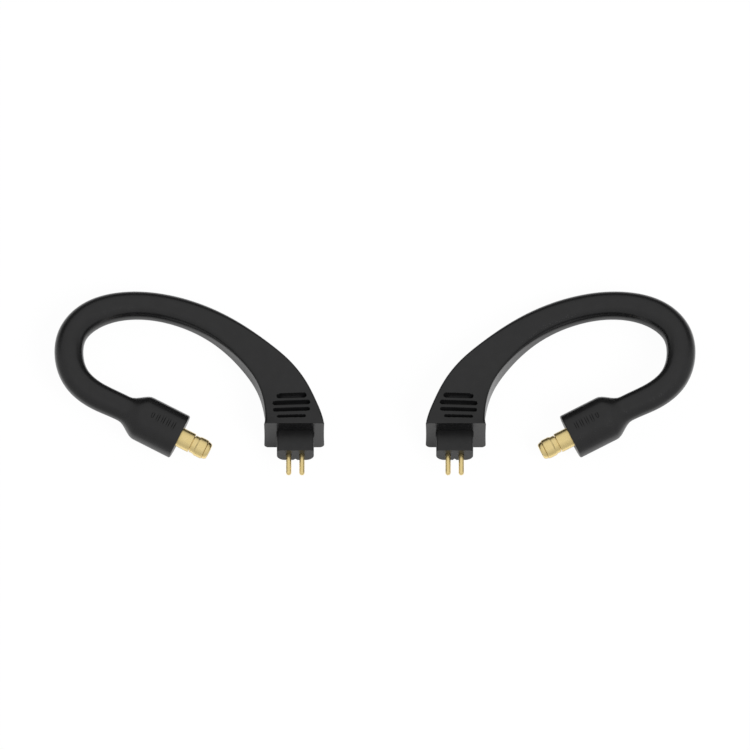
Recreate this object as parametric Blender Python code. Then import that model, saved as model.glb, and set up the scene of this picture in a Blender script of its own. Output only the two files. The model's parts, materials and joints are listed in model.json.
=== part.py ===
"""A mirrored pair of moulded ear hooks with a two-pin plug at one end and a coaxial plug at the other.

Sizes are in millimetres and become metres when a mesh is made. The hooks lie on their backs on the table:
+Z is up, +X runs across the pair, and -Y is the side that the two-pin plugs point to. The left hook is
modelled, and the right one shares its meshes under a frame that is mirrored in X.
"""

import math

import bmesh
import bpy
import numpy as np
from mathutils import Matrix

MM = 0.001
FIT = 0.06  # clearance between pieces that are moulded or pressed together
PAST = 0.6  # how far a cutter runs past the face that it opens
UP = np.array((0.0, 0.0, 1.0))

# The pair, as it lies
PAIR_GAP = 15.22  # between the two squared ends
BACK_LAND = 0.1  # how much of the round back is moulded flat, where it lies on the table
END_TILT = math.radians(7.5)  # the squared end tapers, so its axis tips up when it lies on its back

# The squared end and the arch: x from the squared end's middle, y, rise of the back above the table,
# width, depth, corner radius on the front, corner radius on the back
END_WIDTH = 9.08
STATIONS = (
    (0.04, 0.48, 0.00, END_WIDTH, 7.40, 0.45, 0.80),
    (-0.34, 3.45, 0.00, 8.09, 6.60, 0.45, 0.75),
    (-1.52, 7.46, 0.00, 6.97, 5.70, 0.45, 0.70),
    (-3.09, 10.44, 0.00, 6.04, 5.15, 0.50, 0.70),
    (-5.19, 13.09, 0.00, 5.25, 4.70, 0.60, 0.80),
    (-10.89, 18.05, 0.00, 4.41, 4.40, 1.40, 1.70),
    (-18.85, 21.59, 0.00, 4.25, 4.25, 2.10, 2.12),
    (-23.60, 21.98, 0.50, 4.22, 4.30, 2.15, 2.15),
    (-30.93, 19.57, 1.50, 4.46, 4.35, 2.18, 2.18),
    (-33.10, 16.85, 2.09, 4.35, 4.38, 2.19, 2.19),
    (-33.76, 13.38, 2.70, 4.34, 4.40, 2.20, 2.20),
    (-32.40, 8.69, 3.30, 4.20, 4.30, 2.15, 2.15),
    (-29.74, 6.31, 3.30, 4.15, 4.15, 2.08, 2.08),
)
SIDE_WAIST = 0.06  # how far the squared end's sides bow in at mid depth
WAIST_FADE = 12.0  # length over which that bow fades out
END_RIM = 0.1  # rounded edge of the end face

# The round boot of the coaxial plug
BOOT_END = np.array((-29.22, 0.26, 3.43))  # middle of its end face
PLUG_HEADING = math.radians(-25.8)
PLUG_DIP = math.radians(8.0)
BOOT_RADIUS = 3.5
BOOT_LENGTH = 6.2  # straight part
FLARE_LENGTH = 3.2  # from the neck up to the boot
NECK_RADIUS = 2.0
NECK_REACH = 9.58  # straight run that ends at the boot's end face
BOOT_RIM = 0.25

# Grip grooves: distance from the end face, length, width
END_GROOVES = ((1.36, 4.17, 0.42), (2.65, 5.4, 0.58), (3.97, 5.5, 0.7), (5.33, 4.37, 0.8))
END_GROOVE_SHIFT = -0.415  # towards the inner side of the hook
END_GROOVE_DEPTH = 0.45
BOOT_GROOVES = ((1.55, 1.6, 0.36), (2.41, 1.7, 0.36), (3.27, 2.0, 0.36), (4.13, 1.5, 0.36), (4.99, 0.9, 0.36))
BOOT_GROOVE_DEPTH = 0.18

# The two-pin plug: heights are along its axis, out of the end face
BLOCK_SHIFT = 0.175  # towards the middle of the pair
BLOCK_WIDTH, BLOCK_DEPTH = 5.55, 3.06
BLOCK_FRONT_RADIUS, BLOCK_BACK_RADIUS = 0.55, 1.25
BLOCK_REACH = 3.43
BLOCK_EDGE = 0.12
FLANGE_WIDTH, FLANGE_DEPTH = 6.3, 4.2
FLANGE_FRONT, FLANGE_BACK = -1.0, -2.2
KEY_HALF_WIDTH, KEY_DEPTH, KEY_START = 0.36, 0.45, 0.5
PIN_RADIUS, PIN_PITCH = 0.39, 1.98
PIN_TIP = 6.85
COLLAR_RADIUS, COLLAR_FRONT, COLLAR_BACK = 0.55, 0.9, 0.1
CUP_RADIUS, CUP_BORE = 0.5, 0.3
CUP_FRONT, CUP_FLOOR, CUP_BACK = -2.5, -3.0, -4.2

# The hard mould behind the plug block: distance inwards from the end face, width, depth
END_MOULD_STOP = 6.2
END_MOULD = ((2.32, 4.4, 3.2), (4.3, 4.4, 3.2), (END_MOULD_STOP, 2.7, 1.9))
CHANNEL_WIDTH, CHANNEL_DEPTH = 1.75, 0.86
CHANNEL_LEAD = 1.0  # from the faces of the two inner moulds to the channel's first and last rings
INNER_STRAIGHT, INNER_EASE = 4.3, 3.2  # the pieces inside run straight, then ease onto the centre line

# The coaxial plug and its hard mould: heights are along the plug's axis, out of the boot's end face
NOSE_TIP, NOSE_TIP_RADIUS, NOSE_EDGE, NOSE_RADIUS = 4.88, 1.09, 0.14, 1.40
RING_SEAT_FRONT, RING_SEAT_BACK, RING_SEAT_RADIUS = 4.28, 1.99, 1.13
BARREL_RADIUS, BARREL_BORE = 1.50, 0.88
LOCK_FRONT, LOCK_BACK, LOCK_RADIUS = -0.90, -1.95, 1.88
SLEEVE_BACK, SLEEVE_RADIUS, SLEEVE_BORE = -2.80, 1.42, 1.02
BORE_STEP, BORE_EDGE = 0.70, 0.08
RING_FRONT, RING_BACK, RING_INSIDE = 4.22, 2.12, 1.18
RING_BACK_RADIUS, RING_CREST, RING_FRONT_RADIUS = 1.36, 1.50, 1.43
RING_RAMP, CREST_BACK, CREST_FRONT = 2.72, 2.98, 4.05
RING_GAP = math.radians(24)
INSULATOR_FRONT, INSULATOR_BACK = 0.62, -2.20
CENTRE_PIN_RADIUS, CENTRE_PIN_TIP, CENTRE_PIN_ROUNDING = 0.25, 4.1, 0.2
TAIL_FRONT, TAIL_FLOOR, TAIL_BACK = -2.27, -2.7, -3.6
TAIL_RADIUS, TAIL_BORE = 0.42, 0.26
PLUG_MOULD_FRONT, PLUG_MOULD_SHOULDER, PLUG_MOULD_BACK = -2.05, -4.4, -6.2
PLUG_MOULD_RADIUS, PLUG_MOULD_TAIL = 2.3, 1.35

# Wires
WIRE_RADIUS, STRIPPED_RADIUS = 0.31, 0.17
WIRE_SPACING = 0.45  # from the middle of the channel to each wire
GROUND_LANDING = 1.66  # where the ground wire lies along the plug shell's sleeve
STRIPPED_REST = 0.15  # from a wire's bare end to the floor of its cup
JACKET_REST = 0.3  # from a cup's mouth to the wire's insulation

# Facets
ARC_STEPS, CORE_STEPS, SLOT_STEPS, FLARE_STEPS = 4, 2, 4, 7
RING_STEP, WIRE_STEP = 2.0, 3.0
BARREL_SIDES, PIN_SIDES, WIRE_SIDES, RING_STEPS = 18, 10, 6, 16
SMOOTH_UNDER = math.radians(35)


def unit(vector):
    return vector / np.linalg.norm(vector)


def smoothstep(x):
    x = min(max(x, 0.0), 1.0)
    return x * x * (3 - 2 * x)


def spline_slopes(knots, values, first_slope, last_slope):
    """Slopes at the knots of the smoothest cubic through the values, column by column."""
    count = len(knots)
    matrix = np.eye(count)
    right = np.zeros_like(values)
    right[0] = first_slope
    right[-1] = last_slope
    for i in range(1, count - 1):
        before = knots[i] - knots[i - 1]
        after = knots[i + 1] - knots[i]
        matrix[i, i - 1:i + 2] = after, 2 * (before + after), before
        rise_before = (values[i] - values[i - 1]) / before
        rise_after = (values[i + 1] - values[i]) / after
        right[i] = 3 * (after * rise_before + before * rise_after)
    return np.linalg.solve(matrix, right)


PLUG_AXIS = np.array((
    math.cos(PLUG_DIP) * math.cos(PLUG_HEADING),
    math.cos(PLUG_DIP) * math.sin(PLUG_HEADING),
    -math.sin(PLUG_DIP),
))
END_INWARDS = np.array((0.0, math.cos(END_TILT), -math.sin(END_TILT)))


class CentreLine:
    """The hook's centre line, from the end face (0) to the boot's end face (length), with section sizes."""

    def __init__(self):
        end_x = -(PAIR_GAP + END_WIDTH) / 2
        rows = [
            (end_x + x, y, rise + depth / 2 - BACK_LAND, width, depth, front, back)
            for x, y, rise, width, depth, front, back in STATIONS
        ]
        neck = BOOT_END - PLUG_AXIS * NECK_REACH
        rows.append((*neck, 2 * NECK_RADIUS, 2 * NECK_RADIUS, NECK_RADIUS, NECK_RADIUS))
        self.values = np.array(rows)
        chords = np.linalg.norm(np.diff(self.values[:, :3], axis=0), axis=1)
        self.knots = np.concatenate(([0.0], np.cumsum(chords)))
        first = (self.values[1] - self.values[0]) / chords[0]
        last = np.zeros(7)
        first[:3] = END_INWARDS
        last[:3] = PLUG_AXIS
        self.slopes = spline_slopes(self.knots, self.values, first, last)
        self.bend_end = self.knots[-1]
        self.length = self.bend_end + NECK_REACH

    def at(self, u):
        """(centre, direction, sizes) at a distance from the end face, straight on past the bend's ends."""
        if u <= 0 or u >= self.bend_end:
            i = 0 if u <= 0 else -1
            past = u - self.knots[i]
            direction = self.slopes[i, :3]
            return self.values[i, :3] + direction * past, direction, self.values[i, 3:]
        i = int(np.searchsorted(self.knots, u)) - 1
        span = self.knots[i + 1] - self.knots[i]
        t = (u - self.knots[i]) / span
        a, b = self.values[i], self.values[i + 1]
        p, q = span * self.slopes[i], span * self.slopes[i + 1]
        cubic = 2 * a - 2 * b + p + q
        square = 3 * b - 3 * a - 2 * p - q
        point = ((cubic * t + square) * t + p) * t + a
        slope = (3 * cubic * t + 2 * square) * t + p
        return point[:3], unit(slope[:3]), point[3:]


LINE = CentreLine()
END_CENTRE = LINE.at(0)[0]
PLUG_MOULD_START = LINE.length + PLUG_MOULD_BACK
TAIL_MOUTH = LINE.length + TAIL_BACK


def across(direction):
    """Unit vectors to the outer side and to the front of a section whose normal is the direction."""
    outer = unit(np.cross(direction, UP))
    return outer, np.cross(outer, direction)


def section(width, depth, front_radius, back_radius, steps, waist=0.0):
    """A rounded rectangle as (outer, front) pairs. Its arcs stop short of 90 degrees, so round ones close."""
    arc_margin = math.radians(6)
    points = [(width / 2 - waist, 0.0)]
    corners = ((1, 1, front_radius), (-1, 1, front_radius), (-1, -1, back_radius), (1, -1, back_radius))
    for quarter, (side, face, radius) in enumerate(corners):
        radius = min(radius, width / 2, depth / 2)
        middle = side * (width / 2 - radius), face * (depth / 2 - radius)
        for i in range(steps + 1):
            angle = math.pi / 2 * quarter + arc_margin + (math.pi / 2 - 2 * arc_margin) * i / steps
            points.append((middle[0] + radius * math.cos(angle), middle[1] + radius * math.sin(angle)))
        if quarter == 1:
            points.append((waist - width / 2, 0.0))
    return points


def ring_at(centre, direction, pairs, on_table=False):
    """A section placed square to a direction, and flattened where it would pass below the table."""
    outer, front = across(direction)
    ring = []
    for n, b in pairs:
        if on_table:
            b = max(b, -(centre[2] + n * outer[2]) / front[2])
        ring.append(centre + n * outer + b * front)
    return ring


def circle(radius, sides):
    turn = 2 * math.pi / sides
    return [(radius * math.cos(turn * i), radius * math.sin(turn * i)) for i in range(sides)]


def loft(name, rings, wrap=False):
    """A closed mesh through rings of points, with end faces, or with the last ring joined to the first."""
    bm = bmesh.new()
    rows = [[bm.verts.new(np.asarray(point) * MM) for point in ring] for ring in rings]
    pairs = list(zip(rows, rows[1:]))
    if wrap:
        pairs.append((rows[-1], rows[0]))
    else:
        bm.faces.new(rows[0])
        bm.faces.new(rows[-1])
    for one, two in pairs:
        for i in range(len(one)):
            bm.faces.new((one[i - 1], one[i], two[i], two[i - 1]))
    bmesh.ops.recalc_face_normals(bm, faces=bm.faces)
    mesh = bpy.data.meshes.new(name)
    bm.to_mesh(mesh)
    bm.free()
    return mesh


def turned(name, profile, sides, hollow=False, middle=(0.0, 0.0)):
    """A piece turned about local Z from (radius, height) pairs, solid or, if hollow, round a bore."""
    rings = [
        [(x + middle[0], y + middle[1], height) for x, y in circle(radius, sides)]
        for radius, height in profile
    ]
    return loft(name, rings, wrap=hollow)


def prism(name, outline, low, high):
    return loft(name, [[(x, y, height) for x, y in outline] for height in (low, high)])


def moved(mesh, matrix):
    mesh.transform(matrix)
    return mesh


def carved(mesh, cutters):
    """The mesh with the cutters taken out of it, one after another."""
    blank = bpy.data.objects.new(mesh.name + "_blank", mesh)
    helpers = [bpy.data.objects.new(cutter.name, cutter) for cutter in cutters]
    for helper in [blank, *helpers]:
        bpy.context.scene.collection.objects.link(helper)
    for helper in helpers:
        modifier = blank.modifiers.new(helper.name, "BOOLEAN")
        modifier.operation = "DIFFERENCE"
        modifier.solver = "EXACT"
        modifier.object = helper
    graph = bpy.context.evaluated_depsgraph_get()
    result = bpy.data.meshes.new_from_object(blank.evaluated_get(graph))
    result.name = mesh.name
    for helper in [blank, *helpers]:
        bpy.data.objects.remove(helper)
    return result


def frame_matrix(origin, x_axis, y_axis, z_axis):
    columns = [(*x_axis, 0), (*y_axis, 0), (*z_axis, 0), (*(np.asarray(origin) * MM), 1)]
    return Matrix(columns).transposed()


def two_pin_frame():
    """Local X to the outer side, Y to the front, Z out of the end face."""
    outer, front = across(END_INWARDS)
    return frame_matrix(END_CENTRE + BLOCK_SHIFT * outer, outer, front, -END_INWARDS)


def plug_frame():
    """Local Y to the front of the boot, Z out of its end face."""
    outer, front = across(PLUG_AXIS)
    return frame_matrix(BOOT_END, -outer, front, PLUG_AXIS)


def rim_inset(distance, radius):
    """How far a rounded rim has drawn in at a distance from its end face."""
    if distance >= radius:
        return 0.0
    return radius - math.sqrt(radius**2 - (radius - distance) ** 2)


def boot_radius(before_end):
    """Radius of the neck, flare and boot, at a distance before the boot's end face."""
    grown = smoothstep((BOOT_LENGTH + FLARE_LENGTH - before_end) / FLARE_LENGTH)
    return NECK_RADIUS + (BOOT_RADIUS - NECK_RADIUS) * grown


def cover_stops():
    """Distances along the centre line at which the cover has a ring."""
    rim = [1 - math.cos(math.radians(angle)) for angle in (0, 45, 90)]
    stops = [END_RIM * part for part in rim]
    flare = LINE.length - BOOT_LENGTH - FLARE_LENGTH
    bend_steps = round((flare - END_RIM) / RING_STEP)
    stops += list(np.linspace(END_RIM, flare, bend_steps + 1))[1:-1]
    stops += [flare + FLARE_LENGTH * i / FLARE_STEPS for i in range(FLARE_STEPS + 1)]
    stops += [LINE.length - BOOT_LENGTH / 2]
    stops += [LINE.length - BOOT_RIM * part for part in reversed(rim)]
    return stops


def cover_ring(u):
    centre, direction, (width, depth, front, back) = LINE.at(u)
    before_end = LINE.length - u
    if u > LINE.bend_end:
        front = back = boot_radius(before_end)
        width = depth = 2 * front
    inset = rim_inset(u, END_RIM) + rim_inset(before_end, BOOT_RIM)
    waist = SIDE_WAIST * (1 - smoothstep(u / WAIST_FADE))
    pairs = section(width - 2 * inset, depth - 2 * inset, front - inset, back - inset, ARC_STEPS, waist)
    return ring_at(centre, direction, pairs, on_table=True)


def inner_at(u):
    """(centre, direction) of what runs inside: straight behind the block, then along the centre line."""
    outer, _ = across(END_INWARDS)

    def place(v):
        eased = smoothstep((v - INNER_STRAIGHT) / INNER_EASE)
        straight = END_CENTRE + BLOCK_SHIFT * outer + END_INWARDS * v
        return (1 - eased) * straight + eased * LINE.at(v)[0]

    nudge = 0.05
    return place(u), unit(place(u + nudge) - place(u - nudge))


def inner_loft(name, rows):
    """A loft along the inner line from (distance, width, depth, front radius, back radius)."""
    rings = []
    for u, width, depth, front, back in rows:
        centre, direction = inner_at(u)
        rings.append(ring_at(centre, direction, section(width, depth, front, back, CORE_STEPS)))
    return loft(name, rings)


def grown(rows, by):
    """The rows of an inner loft with a clearance all round."""
    return [
        (u, width + 2 * by, depth + 2 * by, front + by, back + by)
        for u, width, depth, front, back in rows
    ]


def end_mould_rows():
    return [(u, width, depth, depth / 3, depth / 3) for u, width, depth in END_MOULD]


def channel_stops():
    """Distances at which the wire channel, and the wires in it, have a ring."""
    start, stop = END_MOULD_STOP + CHANNEL_LEAD, PLUG_MOULD_START + CHANNEL_LEAD
    return list(np.linspace(start, stop, round((stop - start) / WIRE_STEP) + 1))


def core_mesh():
    """The space inside the cover for the plug block, its inner mould and the wires."""
    block = (BLOCK_WIDTH, BLOCK_DEPTH, BLOCK_FRONT_RADIUS, BLOCK_BACK_RADIUS)
    flange = (FLANGE_WIDTH, FLANGE_DEPTH, BLOCK_FRONT_RADIUS, BLOCK_BACK_RADIUS)
    channel = (CHANNEL_WIDTH, CHANNEL_DEPTH, CHANNEL_DEPTH / 2, CHANNEL_DEPTH / 2)
    flange_start, flange_stop = -FLANGE_FRONT - FIT, -FLANGE_BACK + FIT
    rows = grown([(-PAST, *block), (flange_start, *block)], FIT)
    rows += grown([(flange_start, *flange), (flange_stop, *flange)], FIT)
    mould = grown(end_mould_rows(), FIT)
    rows += [(flange_stop, *mould[0][1:]), *mould[1:]]
    mould_end = END_MOULD_STOP + FIT
    rows += [(mould_end, *mould[-1][1:]), (mould_end, *channel)]
    rows += [(u, *channel) for u in channel_stops()]
    return inner_loft("core", rows)


def plug_pocket_mesh():
    """The space inside the boot for the plug shell and its inner mould."""
    lock_front, lock_back = LOCK_FRONT + FIT, LOCK_BACK - FIT / 2
    profile = [
        (PLUG_MOULD_TAIL, PLUG_MOULD_BACK - FIT),
        (PLUG_MOULD_TAIL, PLUG_MOULD_BACK),
        (PLUG_MOULD_RADIUS, PLUG_MOULD_SHOULDER),
        (PLUG_MOULD_RADIUS, lock_back),
        (LOCK_RADIUS, lock_back),
        (LOCK_RADIUS, lock_front),
        (BARREL_RADIUS, lock_front),
        (BARREL_RADIUS, PAST),
    ]
    roomy = [(radius + FIT, height) for radius, height in profile]
    return moved(turned("plug_pocket", roomy, BARREL_SIDES), plug_frame())


def slot_mesh(length, width, depth):
    """A slot cutter with round ends, long in local X, whose floor is a depth below local Z of 0."""
    ends = []
    for side in (1, -1):
        for i in range(SLOT_STEPS + 1):
            angle = math.pi * (i / SLOT_STEPS - 0.5)
            x = length / 2 - width / 2 + width / 2 * math.cos(angle)
            ends.append((side * x, side * width / 2 * math.sin(angle)))
    return prism("slot", ends, -depth, PAST)


def front_at(u):
    """The middle of the front at a distance from the end face."""
    centre, direction, sizes = LINE.at(u)
    return centre + across(direction)[1] * sizes[1] / 2


def groove_meshes():
    """Cutters for the grip grooves on the front of the squared end and of the boot."""
    cutters = []
    sideways = np.array((1.0, 0.0, 0.0))
    for u, length, width in END_GROOVES:
        place = front_at(u)
        place[0] = END_CENTRE[0] + END_GROOVE_SHIFT
        inwards = unit((front_at(u + PAST) - front_at(u - PAST)) * (0, 1, 1))
        matrix = frame_matrix(place, sideways, inwards, np.cross(sideways, inwards))
        cutters.append(moved(slot_mesh(length, width, END_GROOVE_DEPTH), matrix))
    outer, front = across(PLUG_AXIS)
    for before_end, length, width in BOOT_GROOVES:
        place = BOOT_END - PLUG_AXIS * before_end + front * BOOT_RADIUS
        matrix = frame_matrix(place, outer, np.cross(front, outer), front)
        cutters.append(moved(slot_mesh(length, width, BOOT_GROOVE_DEPTH), matrix))
    return cutters


def hook_cover():
    outside = loft("hook_cover", [cover_ring(u) for u in cover_stops()])
    return carved(outside, [core_mesh(), plug_pocket_mesh(), *groove_meshes()])


def pin_places():
    return {"signal_pin": -PIN_PITCH / 2, "ground_pin": PIN_PITCH / 2}


def two_pin_block():
    """The plug block with its locking flange, stepped pin bores and key notch."""
    body = (BLOCK_WIDTH, BLOCK_DEPTH, BLOCK_FRONT_RADIUS, BLOCK_BACK_RADIUS)
    rings = []
    for height, grow, edge in (
        (BLOCK_REACH, 0, BLOCK_EDGE),
        (BLOCK_REACH - BLOCK_EDGE, 0, 0),
        (FLANGE_FRONT, 0, 0),
        (FLANGE_FRONT, 1, 0),
        (FLANGE_BACK, 1, 0),
    ):
        width = FLANGE_WIDTH if grow else body[0] - 2 * edge
        depth = FLANGE_DEPTH if grow else body[1] - 2 * edge
        pairs = section(width, depth, body[2] - edge, body[3] - edge, CORE_STEPS)
        rings.append([(x, y, height) for x, y in pairs])
    mesh = loft("two_pin_block", rings)
    bore, seat = PIN_RADIUS + FIT, COLLAR_RADIUS + FIT
    shoulder = COLLAR_FRONT + FIT
    profile = [(seat, FLANGE_BACK - PAST), (seat, shoulder), (bore, shoulder), (bore, BLOCK_REACH + PAST)]
    cutters = [turned("bore", profile, PIN_SIDES, middle=(x, 0)) for x in pin_places().values()]
    back = -BLOCK_DEPTH / 2
    notch = [
        (-KEY_HALF_WIDTH, back - PAST),
        (KEY_HALF_WIDTH, back - PAST),
        (KEY_HALF_WIDTH, back),
        (0, back + KEY_DEPTH),
        (-KEY_HALF_WIDTH, back),
    ]
    cutters.append(prism("key", notch, KEY_START, BLOCK_REACH + PAST))
    return carved(mesh, cutters)


def contact_pin():
    """A turned pin with a rounded tip, a locking collar and a solder cup."""
    tip = [
        (PIN_RADIUS * math.sin(angle), PIN_TIP - PIN_RADIUS * (1 - math.cos(angle)))
        for angle in (math.radians(12), math.radians(50), math.radians(90))
    ]
    profile = tip + [
        (PIN_RADIUS, COLLAR_FRONT),
        (COLLAR_RADIUS, COLLAR_FRONT),
        (COLLAR_RADIUS, COLLAR_BACK),
        (PIN_RADIUS, COLLAR_BACK),
        (PIN_RADIUS, CUP_FRONT),
        (CUP_RADIUS, CUP_FRONT),
        (CUP_RADIUS, CUP_BACK),
        (CUP_BORE, CUP_BACK),
        (CUP_BORE, CUP_FLOOR),
    ]
    return turned("contact_pin", profile, PIN_SIDES)


def wire_route(which, u):
    """A point on a wire: beside the other in the channel, and spread to the pins and the plug at its ends."""
    side = -1 if which == "signal" else 1
    centre, direction = inner_at(u)
    outer, _ = across(direction)
    landing = 0.0 if which == "signal" else GROUND_LANDING
    gathered = smoothstep((u - INNER_STRAIGHT) / (END_MOULD_STOP - INNER_STRAIGHT))
    offset = side * (PIN_PITCH / 2 + (WIRE_SPACING - PIN_PITCH / 2) * gathered)
    landed = smoothstep((u - PLUG_MOULD_START) / (TAIL_MOUTH - PLUG_MOULD_START))
    return centre + outer * (offset + (landing - offset) * landed)


def wire_rings(which, rows):
    """Rings round a wire's route from (distance, radius)."""
    rings = []
    nudge = 0.1
    for u, radius in rows:
        direction = unit(wire_route(which, u + nudge) - wire_route(which, u - nudge))
        rings.append(ring_at(wire_route(which, u), direction, circle(radius, WIRE_SIDES)))
    return rings


def wire_stops(start, stop):
    """Distances for a wire's rings: the channel's own, and closer ones where it bends inside a mould."""
    channel = channel_stops()
    bend_steps = 5
    spread = np.linspace(INNER_STRAIGHT, channel[0], bend_steps + 1)[:-1]
    landing = np.linspace(PLUG_MOULD_START, TAIL_MOUTH, bend_steps + 1)
    stops = [u for u in (*spread, *channel[:-1], *landing) if start < u < stop]
    return [start, *stops, stop]


def wire(which):
    """An insulated wire with stripped ends: one in a pin's cup, one at the coaxial plug."""
    bare_start = -CUP_FLOOR + STRIPPED_REST
    jacket_start = -CUP_BACK + JACKET_REST
    jacket_stop = TAIL_MOUTH - JACKET_REST
    far_floor = TAIL_FLOOR if which == "signal" else LOCK_BACK
    bare_stop = LINE.length + far_floor - STRIPPED_REST
    rows = [(bare_start, STRIPPED_RADIUS), (jacket_start, STRIPPED_RADIUS)]
    rows += [(u, WIRE_RADIUS) for u in wire_stops(jacket_start, jacket_stop)]
    rows += [(jacket_stop, STRIPPED_RADIUS), (bare_stop, STRIPPED_RADIUS)]
    return loft(which + "_wire", wire_rings(which, rows))


def wire_bore(which, start, stop):
    rows = [(u, WIRE_RADIUS + FIT) for u in wire_stops(start, stop)]
    return loft(which + "_bore", wire_rings(which, rows))


def two_pin_inner_mould():
    """The hard mould behind the plug block, with bores for the solder cups and the wires."""
    mesh = inner_loft("two_pin_inner_mould", end_mould_rows())
    cup = [(CUP_RADIUS + FIT, CUP_BACK - FIT), (CUP_RADIUS + FIT, FLANGE_BACK + PAST)]
    cutters = [
        moved(turned("cup_bore", cup, PIN_SIDES, middle=(x, 0)), two_pin_frame())
        for x in pin_places().values()
    ]
    start, stop = -CUP_BACK - PAST, END_MOULD_STOP + PAST
    cutters += [wire_bore(which, start, stop) for which in ("signal", "ground")]
    return carved(mesh, cutters)


def plug_inner_mould():
    """The hard mould behind the coaxial plug, with a seat for its sleeve and bores for the wires."""
    profile = [
        (PLUG_MOULD_TAIL, PLUG_MOULD_BACK),
        (PLUG_MOULD_RADIUS, PLUG_MOULD_SHOULDER),
        (PLUG_MOULD_RADIUS, PLUG_MOULD_FRONT),
    ]
    mesh = moved(turned("plug_inner_mould", profile, BARREL_SIDES), plug_frame())
    seat = [
        (TAIL_RADIUS + FIT, TAIL_BACK - FIT),
        (TAIL_RADIUS + FIT, SLEEVE_BACK - FIT),
        (SLEEVE_RADIUS + FIT, SLEEVE_BACK - FIT),
        (SLEEVE_RADIUS + FIT, PLUG_MOULD_FRONT + PAST),
    ]
    cutters = [moved(turned("sleeve_seat", seat, BARREL_SIDES), plug_frame())]
    start = PLUG_MOULD_START - PAST
    cutters.append(wire_bore("signal", start, TAIL_MOUTH + PAST))
    cutters.append(wire_bore("ground", start, LINE.length + PLUG_MOULD_FRONT + PAST))
    return carved(mesh, cutters)


def plug_shell():
    """The turned barrel: nose, groove for the snap ring, locking flange and solder sleeve."""
    outside = [
        (NOSE_TIP_RADIUS, NOSE_TIP),
        (NOSE_TIP_RADIUS + NOSE_EDGE, NOSE_TIP - NOSE_EDGE),
        (NOSE_RADIUS, RING_SEAT_FRONT),
        (RING_SEAT_RADIUS, RING_SEAT_FRONT),
        (RING_SEAT_RADIUS, RING_SEAT_BACK),
        (BARREL_RADIUS, RING_SEAT_BACK),
        (BARREL_RADIUS, LOCK_FRONT),
        (LOCK_RADIUS, LOCK_FRONT),
        (LOCK_RADIUS, LOCK_BACK),
        (SLEEVE_RADIUS, LOCK_BACK),
        (SLEEVE_RADIUS, SLEEVE_BACK),
    ]
    inside = [
        (SLEEVE_BORE, SLEEVE_BACK),
        (SLEEVE_BORE, BORE_STEP),
        (BARREL_BORE, BORE_STEP),
        (BARREL_BORE, NOSE_TIP - BORE_EDGE),
        (BARREL_BORE + BORE_EDGE, NOSE_TIP),
    ]
    return turned("plug_shell", outside + inside, BARREL_SIDES, hollow=True)


def snap_ring():
    """A split ring with a raised band that drops to a narrower back. Its gap faces the back of the hook."""
    profile = [
        (RING_INSIDE, RING_BACK),
        (RING_BACK_RADIUS, RING_BACK),
        (RING_BACK_RADIUS, RING_RAMP),
        (RING_CREST, CREST_BACK),
        (RING_CREST, CREST_FRONT),
        (RING_FRONT_RADIUS, RING_FRONT),
        (RING_INSIDE, RING_FRONT),
    ]
    start = -math.pi / 2 + RING_GAP / 2
    sweep = 2 * math.pi - RING_GAP
    rings = []
    for i in range(RING_STEPS + 1):
        angle = start + sweep * i / RING_STEPS
        rings.append([(r * math.cos(angle), r * math.sin(angle), height) for r, height in profile])
    return loft("snap_ring", rings)


def plug_insulator():
    """The insulating bush that holds the centre contact in the shell."""
    outside, inside = SLEEVE_BORE - FIT, CENTRE_PIN_RADIUS + FIT
    profile = [
        (outside, INSULATOR_FRONT),
        (outside, INSULATOR_BACK),
        (inside, INSULATOR_BACK),
        (inside, INSULATOR_FRONT),
    ]
    return turned("plug_insulator", profile, BARREL_SIDES, hollow=True)


def plug_centre_pin():
    """The centre contact, with a rounded tip inside the barrel and a solder cup behind the insulator."""
    profile = [
        (CENTRE_PIN_RADIUS / 2, CENTRE_PIN_TIP),
        (CENTRE_PIN_RADIUS, CENTRE_PIN_TIP - CENTRE_PIN_ROUNDING),
        (CENTRE_PIN_RADIUS, TAIL_FRONT),
        (TAIL_RADIUS, TAIL_FRONT),
        (TAIL_RADIUS, TAIL_BACK),
        (TAIL_BORE, TAIL_BACK),
        (TAIL_BORE, TAIL_FLOOR),
    ]
    return turned("plug_centre_pin", profile, PIN_SIDES)


def finish(name, colour, roughness, metallic=0.0):
    material = bpy.data.materials.new(name)
    material.use_nodes = True
    shader = material.node_tree.nodes["Principled BSDF"]
    shader.inputs["Base Color"].default_value = (*colour, 1)
    shader.inputs["Roughness"].default_value = roughness
    shader.inputs["Metallic"].default_value = metallic
    return material


def frame_empty(name, parent=None, matrix=None):
    empty = bpy.data.objects.new(name, None)
    empty.empty_display_size = 5 * MM
    bpy.context.scene.collection.objects.link(empty)
    empty.parent = parent
    if matrix is not None:
        empty.matrix_local = matrix
    return empty


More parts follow.
